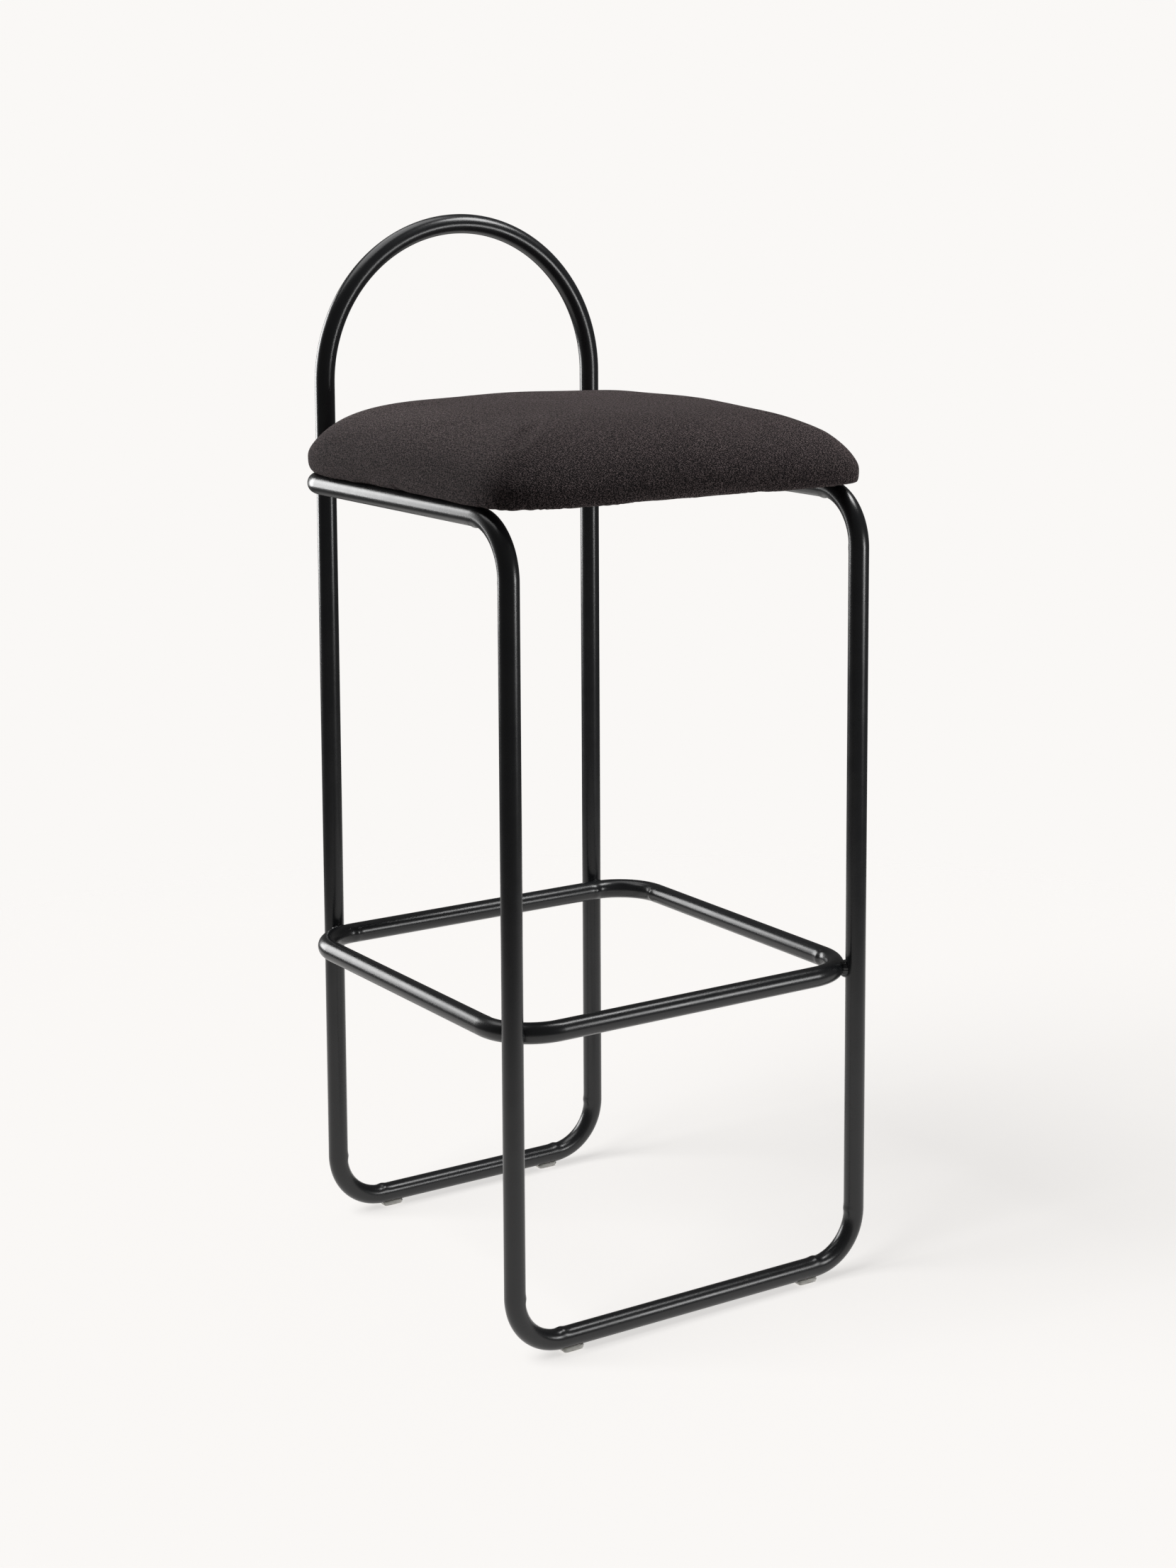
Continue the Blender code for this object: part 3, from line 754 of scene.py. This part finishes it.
class StoolFrameSettings(bpy.types.PropertyGroup):
    floor_bend_front: metres("Front floor bend", "Bend radius between front uprights and floor rail", 0.0447)
    floor_bend_rear: metres("Rear floor bend", "Bend radius between rear uprights and floor rail", 0.046)
    seat_bend_front: metres("Seat front bend", "Bend radius from front upright to seat rail", 0.0483)
    seat_bend_rear: metres("Seat rear bend", "Bend radius from seat rail to the tube behind the seat", 0.040)
    ring_bend: metres("Ring bend", "Bend radius of the footrest ring", 0.0455)
    tube_sides: whole("Tube sides", "Facets round the tube", 48, 12, 96)
    jaw_mark: metres("Jaw mark", "Height of the bump where the bending former gripped the tube", 0.0009)
    jaw_length: metres("Jaw length", "Half length of that bump along the tube", 0.0035)
    bend_flattening: metres("Flattening", "How much the section is drawn in within a bend", 0.0003)
    weld_ripples: whole("Weld ripples", "Ripples round each weld bead", 14, 4, 40)
    coat_colour: tint("Coat colour", "#18191b")
    coat_roughness: portion("Coat roughness", "Roughness of the powder coat", 0.27)


class StoolSeatSettings(bpy.types.PropertyGroup):
    squareness: number("Squareness", "Exponent of the seat's outline, 2 is an ellipse", 9.0)
    edge_height: metres("Widest line", "Height of the cushion's widest line", 0.7356)
    crown: metres("Crown", "Rise of the middle above the widest line", 0.0447)
    crown_shoulder: number("Shoulder", "How far out the top stays level", 5.3)
    crown_fall: number("Fall", "How fast the top drops at the edge", 1.39)
    underside_depth: metres("Underside", "Drop of the underside's curve", 0.0265)
    corner_drop: metres("Corner drop", "How far the cover pulls the corners down", 0.0066)
    ease: metres("Ease", "Extra half width that the inflated cover draws in again", 0.0008)
    rail_bend: metres("Rail bend", "Bend radius of the tube under the rear corners", 0.040)
    rear_slope: number("Rear slope", "Rise of the cushion to the rear, per metre of depth", 0.014)
    cells: whole("Cells", "Grid cells across each side of the cover", 96, 24, 160)
    pressure: number("Foam pressure", "Pressure of the foam on the cover", 4.0)
    swell_cap: metres("Swell cap", "Most that the cover may move when it is inflated", 0.0012)
    pucker_pitch: metres("Pucker pitch", "Distance between puckers", 0.0085)
    pucker_depth: metres("Pucker depth", "Depth of the puckers", 0.0007)
    pucker_height: metres("Pucker height", "How far up the puckers reach", 0.016)
    loop_size: metres("Loop size", "Distance between yarn loops", 0.0010)
    loop_stretch: number("Loop stretch", "Loop's length along the depth over its length across", 0.55)
    fuzz: portion("Fuzz", "Sheen of the loose fibres", 0.50)
    dark_yarn: tint("Dark yarn", "#0e0b0c")
    mid_yarn: tint("Middle yarn", "#272122")
    light_yarn: tint("Light yarn", "#584e4e")
    lining_colour: tint("Lining", "#222222")
    staple_pitch: metres("Staple pitch", "Distance between staples in the lining", 0.022)


class StoolGlideSettings(bpy.types.PropertyGroup):
    glide_colour: tint("Glide colour", "#e3e2de")
    glide_lip: metres("Lip height", "Height of the lips beside the tube", 0.0045)


class StoolStageSettings(bpy.types.PropertyGroup):
    backdrop: tint("Backdrop", "#faf8f6")
    floor_glow: portion("Floor glow", "Lightness that the floor gives off itself", 0.67)
    floor_middle: FloatVectorProperty(
        name="Floor middle", description="Middle of the lit floor", size=2, default=(0.1, 0.1), unit="LENGTH"
    )
    floor_radius: metres("Floor radius", "Where the lit floor starts to fade", 1.0)
    key_power: watts("Key power", "Softbox behind on the left", 37.0)
    top_power: watts("Top power", "Softbox above on the right", 12.0)
    strip_power: watts("Strip power", "Low softbox in front on the right", 4.5)
    ceiling_power: watts("Ceiling power", "Broad light overhead", 18.0)
    window_strength: number("Window strength", "Light from the left that throws the floor shadow", 1.25)
    window_width: number("Window width", "How wide the window looks from the floor, in degrees", 42.0)


# ---------------------------------------------------------------- operators


class STOOL_OT_tube_frame(bpy.types.Operator):
    """Make the two bent loops and the footrest ring"""

    bl_idname = "stool.tube_frame"
    bl_label = "Tube frame"

    def execute(self, context):
        settings = context.scene.stool_frame
        coat = powder_coat(settings)
        side, rear = FRONT_SIDE, REAR_SIDE
        front_path = [
            ((-side, FRONT_Y, FLOOR_RAIL_Z), settings.floor_bend_front),
            ((side, FRONT_Y, FLOOR_RAIL_Z), settings.floor_bend_front),
            ((side, FRONT_Y, SEAT_RAIL_Z), settings.seat_bend_front),
            ((side, INNER_REAR_Y, SEAT_RAIL_Z), settings.seat_bend_rear),
            ((-side, INNER_REAR_Y, SEAT_RAIL_Z), settings.seat_bend_rear),
            ((-side, FRONT_Y, SEAT_RAIL_Z), settings.seat_bend_front),
        ]
        rear_path = [
            ((-rear, REAR_Y, FLOOR_RAIL_Z), settings.floor_bend_rear),
            ((rear, REAR_Y, FLOOR_RAIL_Z), settings.floor_bend_rear),
            ((rear, REAR_Y, ARCH_TOP_Z), rear),
            ((-rear, REAR_Y, ARCH_TOP_Z), rear),
        ]
        ring_path = [
            ((x * RING_SIDE, FRONT_Y if y < 0 else INNER_REAR_Y, RING_Z), settings.ring_bend)
            for x, y in CORNERS.values()
        ]
        loops = {
            "front_loop": (front_path, (0.0, 1.0, 0.0)),
            "rear_loop": (rear_path, (0.0, 1.0, 0.0)),
            "footrest_ring": (ring_path, (0.0, 0.0, 1.0)),
        }
        for node, (path, normal) in loops.items():
            tube = bent_tube(f"bent_{node}", path, normal, settings, coat)
            place_piece(tube, "powder_coated_steel", node)
        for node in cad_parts:
            if node.startswith("seat_lug"):
                paint_node(node, coat)
        return {"FINISHED"}


class STOOL_OT_welds(bpy.types.Operator):
    """Make the weld beads that join the ring and the loops"""

    bl_idname = "stool.welds"
    bl_label = "Weld beads"

    def execute(self, context):
        settings = context.scene.stool_frame
        coat = bpy.data.materials["satin_black_powder_coat"]
        for node in sorted(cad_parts):
            if "_weld_" not in node:
                continue
            low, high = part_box(node)
            place = (low + high) / 2
            turn = 0.0
            if "footrest_weld_front" in node:
                turn = math.copysign(math.pi / 4, place.x)
            else:
                place.y = (INNER_REAR_Y + REAR_Y) / 2
            bead = weld_bead(f"bead_{node}", place, turn, BEAD_SIZES, settings.weld_ripples, coat)
            place_piece(bead, "powder_coated_steel", node)
        return {"FINISHED"}


class STOOL_OT_cushion(bpy.types.Operator):
    """Make the upholstered cushion"""

    bl_idname = "stool.cushion"
    bl_label = "Cushion"

    def execute(self, context):
        settings = context.scene.stool_seat
        points, faces, flat = cushion_sheets(settings)
        cushion = add_surface("cushion", points, faces, wool_boucle(settings), uv=flat)
        inflate(cushion, settings)
        smooth = cushion.modifiers.new("even_cloth", "SUBSURF")
        smooth.levels = smooth.render_levels = 1
        apply_modifiers(cushion)
        points, normals = read_vectors(cushion.data), read_vectors(cushion.data, "normal")
        write_points(cushion.data, tuck(points, normals, settings))
        place_piece(cushion, "woven_fabric", "seat_cover", "foam_pad")
        return {"FINISHED"}


class STOOL_OT_seat_underside(bpy.types.Operator):
    """Make the lining under the seat with its staples, and finish the board"""

    bl_idname = "stool.seat_underside"
    bl_label = "Seat underside"

    def execute(self, context):
        settings = context.scene.stool_seat
        place_piece(self.lining(settings), "lining_cloth", "lining")
        place_piece(self.staples(settings), "zinc_plated_steel")
        paint_node("seat_board", birch_plywood())
        return {"FINISHED"}

    def lining(self, settings):
        """Sheet with rounded corners under the board, sagging by a little and folded under at its edge.

        The height is the cover's base less a gap and a sag that is the product of two cosines, and it drops
        by a step at the edge, where the cloth is folded under.
        """
        inset, count = 0.0004, 81
        sag_depth, ripple_height = 0.0012, 0.00025
        half = np.array([LINING_HIGH.x, (LINING_HIGH.y - LINING_LOW.y) / 2]) - inset
        middle = np.array([0.0, (LINING_HIGH.y + LINING_LOW.y) / 2])
        grid = np.linspace(-1, 1, count)
        u, v = np.meshgrid(grid, grid, indexing="ij")
        share, reach = square_reach(u, v, squareness=14.0)
        plan = middle + np.stack([u, v], axis=-1) * reach[..., None] * half
        sag = sag_depth * np.cos(u * math.pi / 2) * np.cos(v * math.pi / 2)
        ripple = ripple_height * np.sin(u * 23 + 1.4 * np.sin(v * 5)) * np.sin(v * 19) * share**4
        fold = LINING_FOLD * smooth_step(share, 0.90, 0.915)
        height = COVER_LOW.z - LINING_GAP - sag + ripple * (share < 0.9) - fold
        points = np.vstack([raised(plan, height), raised(plan, height - LINING_THICKNESS)])
        rim = np.arange(count)
        loop = np.concatenate(
            [rim * count, (count - 1) * count + rim[1:], (rim[::-1] * count + count - 1)[1:], rim[::-1][1:-1]]
        )
        after = np.roll(loop, -1)
        walls = np.stack([loop, after, after + count**2, loop + count**2], axis=-1)
        faces = np.vstack([two_sheets(count), walls])
        lining = add_surface("lining_cloth", points, faces, spunbond_lining(settings))
        return lining

    def staples(self, settings):
        """Flat wire staples round the lining's edge, all one mesh.

        Each staple is a thin bar whose corners are turned down; one bar's points are carried to every place
        on the outline and turned to lie along it or a few degrees off it.
        """
        inset, corner = 0.0065, 0.022
        half = np.array([LINING_HIGH.x, (LINING_HIGH.y - LINING_LOW.y) / 2]) - inset
        middle_y = (LINING_HIGH.y + LINING_LOW.y) / 2
        each = round((half[0] + half[1] - 0.06) / settings.staple_pitch)
        count = 4 * each
        side = np.arange(count) // each
        step = (np.arange(count) % each + 0.5) / each * 2 - 1
        run = step * (half[0] - corner)
        x = np.choose(side, [run, np.full(count, half[0]), -run, np.full(count, -half[0])])
        y = np.choose(side, [np.full(count, -half[1]), run, np.full(count, half[1]), -run])
        angle = side * math.pi / 2 + 0.14 * np.sin(np.arange(count) * 2.4)
        along = np.array([-0.0050, -0.0046, 0.0046, 0.0050])
        drop = np.array([0.0006, 0.0, 0.0, 0.0006])
        section = np.array([[-0.0006, 0.0], [0.0006, 0.0], [0.0006, STAPLE_WIRE], [-0.0006, STAPLE_WIRE]])
        bar = np.stack(
            [
                np.repeat(along[:, None], 4, 1),
                np.repeat(section[None, :, 0], 4, 0),
                section[None, :, 1] + drop[:, None],
            ],
            axis=-1,
        ).reshape(-1, 3)
        cosine, sine = np.cos(angle)[:, None], np.sin(angle)[:, None]
        base = COVER_LOW.z - LINING_GAP - LINING_FOLD - LINING_THICKNESS - STAPLE_WIRE
        placed = np.stack(
            [
                x[:, None] + bar[None, :, 0] * cosine - bar[None, :, 1] * sine,
                middle_y + y[:, None] + bar[None, :, 0] * sine + bar[None, :, 1] * cosine,
                base + np.repeat(bar[None, :, 2], count, 0),
            ],
            axis=-1,
        ).reshape(-1, 3)
        sides = grid_faces(4, 4, wrap_columns=True)
        ends = np.array([[3, 2, 1, 0], [12, 13, 14, 15]])
        one = np.vstack([sides, ends])
        faces = (one[None] + 16 * np.arange(count)[:, None, None]).reshape(-1, 4)
        staples = add_surface("lining_staples", placed, faces, zinc_plate())
        staples.data.shade_flat()
        return staples


class STOOL_OT_fixings(bpy.types.Operator):
    """Make the four socket screws and finish the threaded inserts"""

    bl_idname = "stool.fixings"
    bl_label = "Fixings"

    def execute(self, context):
        zinc = bpy.data.materials["bright_zinc_plated_steel"]
        for node in sorted(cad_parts):
            if node.startswith("threaded_insert"):
                paint_node(node, zinc)
            if not node.startswith("seat_screw"):
                continue
            low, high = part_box(node)
            screw = self.screw(f"socket_{node}", (low + high) / 2, low.z, high.z, zinc)
            place_piece(screw, "zinc_plated_steel", node)
        return {"FINISHED"}

    def screw(self, name, place, low, high, material):
        """Button-head screw: a turned profile with a domed head, whose recess is six-sided.

        The recess rows of the turned surface have their radius divided by the cosine of the angle to the
        middle of the nearest flat, which turns their circles into hexagons.
        """
        head, shank, socket = 0.0055, 0.003, 0.0021
        profile = np.array(
            [
                (0.0, low + 0.0018), (socket, low + 0.0018), (socket, low + 0.00015), (socket + 0.0002, low),
                (0.0042, low), (0.0050, low + 0.0004), (head, low + 0.0012), (head, low + 0.0030),
                (head - 0.0002, low + 0.0032), (shank, low + 0.0032), (shank, high - 0.0006),
                (shank - 0.0006, high), (0.0, high),
            ]
        )
        axis = np.array([place.x, place.y])
        screw = revolved(name, profile, (*axis, 0.0), 48, material)
        points = read_vectors(screw.data)
        offset = points[:, :2] - axis
        angle = np.arctan2(offset[:, 1], offset[:, 0])
        to_flat = (angle + math.pi / 6) % (math.pi / 3) - math.pi / 6
        radius = np.linalg.norm(offset, axis=1)
        in_socket = (radius < socket + 0.0003) & (points[:, 2] < low + 0.0019)
        stretch = np.where(in_socket, 1 / np.cos(to_flat), 1.0)
        points[:, :2] = axis + offset * stretch[:, None]
        write_points(screw.data, points)
        screw.data.set_sharp_from_angle(angle=math.radians(35))
        return screw


class STOOL_OT_glides(bpy.types.Operator):
    """Make the four plastic glides under the floor rails"""

    bl_idname = "stool.glides"
    bl_label = "Glides"

    def execute(self, context):
        settings = context.scene.stool_glides
        plastic = frosted_polypropylene(settings)
        for corner in CORNERS:
            low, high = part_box(f"glide_{corner}")
            glide = glide_block(f"saddle_glide_{corner}", np.array(low), np.array(high), settings, plastic)
            place_piece(glide, "clear_plastic", f"glide_{corner}")
        return {"FINISHED"}


class STOOL_OT_stage(bpy.types.Operator):
    """Make the floor, the backdrop, the lights and the camera"""

    bl_idname = "stool.stage"
    bl_label = "Stage"

    def execute(self, context):
        settings = context.scene.stool_stage
        scene = context.scene
        scene.view_settings.view_transform = "Standard"
        floor = self.floor(settings)
        self.backdrop(settings)
        boxes = (
            ("key_softbox", (-0.85, 2.05, 0.93), (0.0, 0.0, 0.5), (1.0, 1.3), settings.key_power),
            ("top_softbox", (0.66, -0.27, 1.75), (0.0, 0.1, 0.85), (0.5, 0.5), settings.top_power),
            ("strip_softbox", (0.66, -1.10, 0.60), (0.0, -0.1, 0.5), (0.30, 0.35), settings.strip_power),
            ("ceiling_softbox", (-0.25, 0.55, 2.25), (0.0, 0.0, 0.7), (1.5, 1.5), settings.ceiling_power),
        )
        for name, place, target, size, power in boxes:
            self.only_for(self.softbox(name, place, target, size, power), floor, "EXCLUDE")
        window = bpy.data.lights.new("window", "SUN")
        window.energy = settings.window_strength
        window.angle = math.radians(settings.window_width)
        sun = bpy.data.objects.new("window", window)
        scene.collection.objects.link(sun)
        sun.rotation_euler = Vector((-1.0, 0.10, 1.19)).to_track_quat("Z", "Y").to_euler()
        self.only_for(sun, floor, "INCLUDE")
        camera = bpy.data.objects.new("camera", bpy.data.cameras.new("camera"))
        scene.collection.objects.link(camera)
        camera.location = (-1.3095, -2.0556, 0.9843)
        camera.rotation_euler = tuple(math.radians(angle) for angle in (82.3736, 0.0382, -34.7289))
        camera.data.lens = 63.49
        camera.data.shift_x = -0.05745
        camera.data.shift_y = -0.1574
        camera.data.dof.use_dof = False
        scene.camera = camera
        return {"FINISHED"}

    def floor(self, settings):
        """White sweep: a flat sheet that gives off most of its own lightness, so its shadows stay pale.

        Only the window light and the studio's dim light reach it, which keeps it even.  Its rim fades away.
        """
        rows, height, fade_width = 34, -0.0003, 0.5
        across = np.linspace(-1.4, 1.9, rows)
        deep = np.linspace(-1.7, 1.6, rows)
        plan = np.stack(np.meshgrid(across, deep, indexing="ij"), axis=-1)
        points = raised(plan, np.full((rows, rows), height))
        material, tree, place = new_material("matt_white_sweep")
        offset = vector_math(tree, "SUBTRACT", {0: place, 1: (*settings.floor_middle, 0.0)})
        distance = vector_math(tree, "LENGTH", {0: offset}, output="Value")
        radius = settings.floor_radius
        fade = mapped(tree, distance, (radius, radius + fade_width), (0.0, 1.0), "SMOOTHSTEP")
        matt = add_node(tree, "ShaderNodeBsdfDiffuse", inputs={"Color": linear("#e7e5e3")})
        glow_inputs = {"Color": linear(settings.backdrop), "Strength": settings.floor_glow}
        glow = add_node(tree, "ShaderNodeEmission", inputs=glow_inputs)
        lit = add_node(tree, "ShaderNodeAddShader", inputs={0: matt.outputs[0], 1: glow.outputs[0]})
        clear = add_node(tree, "ShaderNodeBsdfTransparent")
        inputs = {"Fac": fade, 1: lit.outputs[0], 2: clear.outputs[0]}
        finish_material(material, add_node(tree, "ShaderNodeMixShader", inputs=inputs))
        return add_surface("floor_sweep", points, grid_faces(rows, rows)[:, ::-1], material)

    def only_for(self, light, receiver, state):
        """Makes the light reach only the receiver, or everything but the receiver."""
        group = bpy.data.collections.new(f"{light.name}_{state.lower()}")
        group.objects.link(receiver)
        group.collection_objects[0].light_linking.link_state = state
        light.light_linking.receiver_collection = group

    def backdrop(self, settings):
        """Pale backdrop where it is seen directly; a dim studio for light and reflections."""
        world = bpy.data.worlds.new("studio")
        world.use_nodes = True
        tree = world.node_tree
        tree.nodes.clear()
        pale = add_node(tree, "ShaderNodeBackground", inputs={"Color": linear(settings.backdrop)})
        dim = add_node(
            tree, "ShaderNodeBackground", inputs={"Color": linear("#faf8f6"), "Strength": 0.10}
        )
        path = add_node(tree, "ShaderNodeLightPath")
        mixed = add_node(
            tree,
            "ShaderNodeMixShader",
            inputs={"Fac": path.outputs["Is Camera Ray"], 1: dim.outputs[0], 2: pale.outputs[0]},
        )
        add_node(tree, "ShaderNodeOutputWorld", inputs={"Surface": mixed.outputs[0]})
        bpy.context.scene.world = world

    def softbox(self, name, place, target, size, power):
        """Rectangular light that faces its target and isn't seen itself."""
        light = bpy.data.lights.new(name, "AREA")
        light.shape = "RECTANGLE"
        light.size, light.size_y = size
        light.energy = power
        box = bpy.data.objects.new(name, light)
        bpy.context.scene.collection.objects.link(box)
        box.location = place
        box.rotation_euler = (Vector(place) - Vector(target)).to_track_quat("Z", "Y").to_euler()
        box.visible_camera = False
        return box


class STOOL_PT_panel(bpy.types.Panel):
    """Settings and makers of the stool"""

    bl_idname = "STOOL_PT_panel"
    bl_label = "Bar Stool"
    bl_space_type = "VIEW_3D"
    bl_region_type = "UI"
    bl_category = "Bar Stool"

    def draw(self, context):
        for title, group, operators in PANEL_ROWS:
            box = self.layout.box()
            box.label(text=title)
            settings = getattr(context.scene, group)
            for name in settings.__annotations__:
                box.prop(settings, name)
            for operator in operators:
                box.operator(operator.bl_idname)


PANEL_ROWS = (
    ("Frame", "stool_frame", (STOOL_OT_tube_frame, STOOL_OT_welds)),
    ("Seat", "stool_seat", (STOOL_OT_cushion, STOOL_OT_seat_underside, STOOL_OT_fixings)),
    ("Glides", "stool_glides", (STOOL_OT_glides,)),
    ("Stage", "stool_stage", (STOOL_OT_stage,)),
)
SETTINGS = {
    "stool_frame": StoolFrameSettings,
    "stool_seat": StoolSeatSettings,
    "stool_glides": StoolGlideSettings,
    "stool_stage": StoolStageSettings,
}
CLASSES = (
    *SETTINGS.values(),
    STOOL_OT_tube_frame,
    STOOL_OT_welds,
    STOOL_OT_cushion,
    STOOL_OT_seat_underside,
    STOOL_OT_fixings,
    STOOL_OT_glides,
    STOOL_OT_stage,
    STOOL_PT_panel,
)


def register():
    for cls in CLASSES:
        bpy.utils.register_class(cls)
    for name, group in SETTINGS.items():
        setattr(bpy.types.Scene, name, PointerProperty(type=group))


def unregister():
    for name in SETTINGS:
        delattr(bpy.types.Scene, name)
    for cls in reversed(CLASSES):
        bpy.utils.unregister_class(cls)


def main():
    register()
    for _, _, operators in PANEL_ROWS:
        for operator in operators:
            group, name = operator.bl_idname.split(".")
            getattr(getattr(bpy.ops, group), name)()


if __name__ == "__main__":
    main()
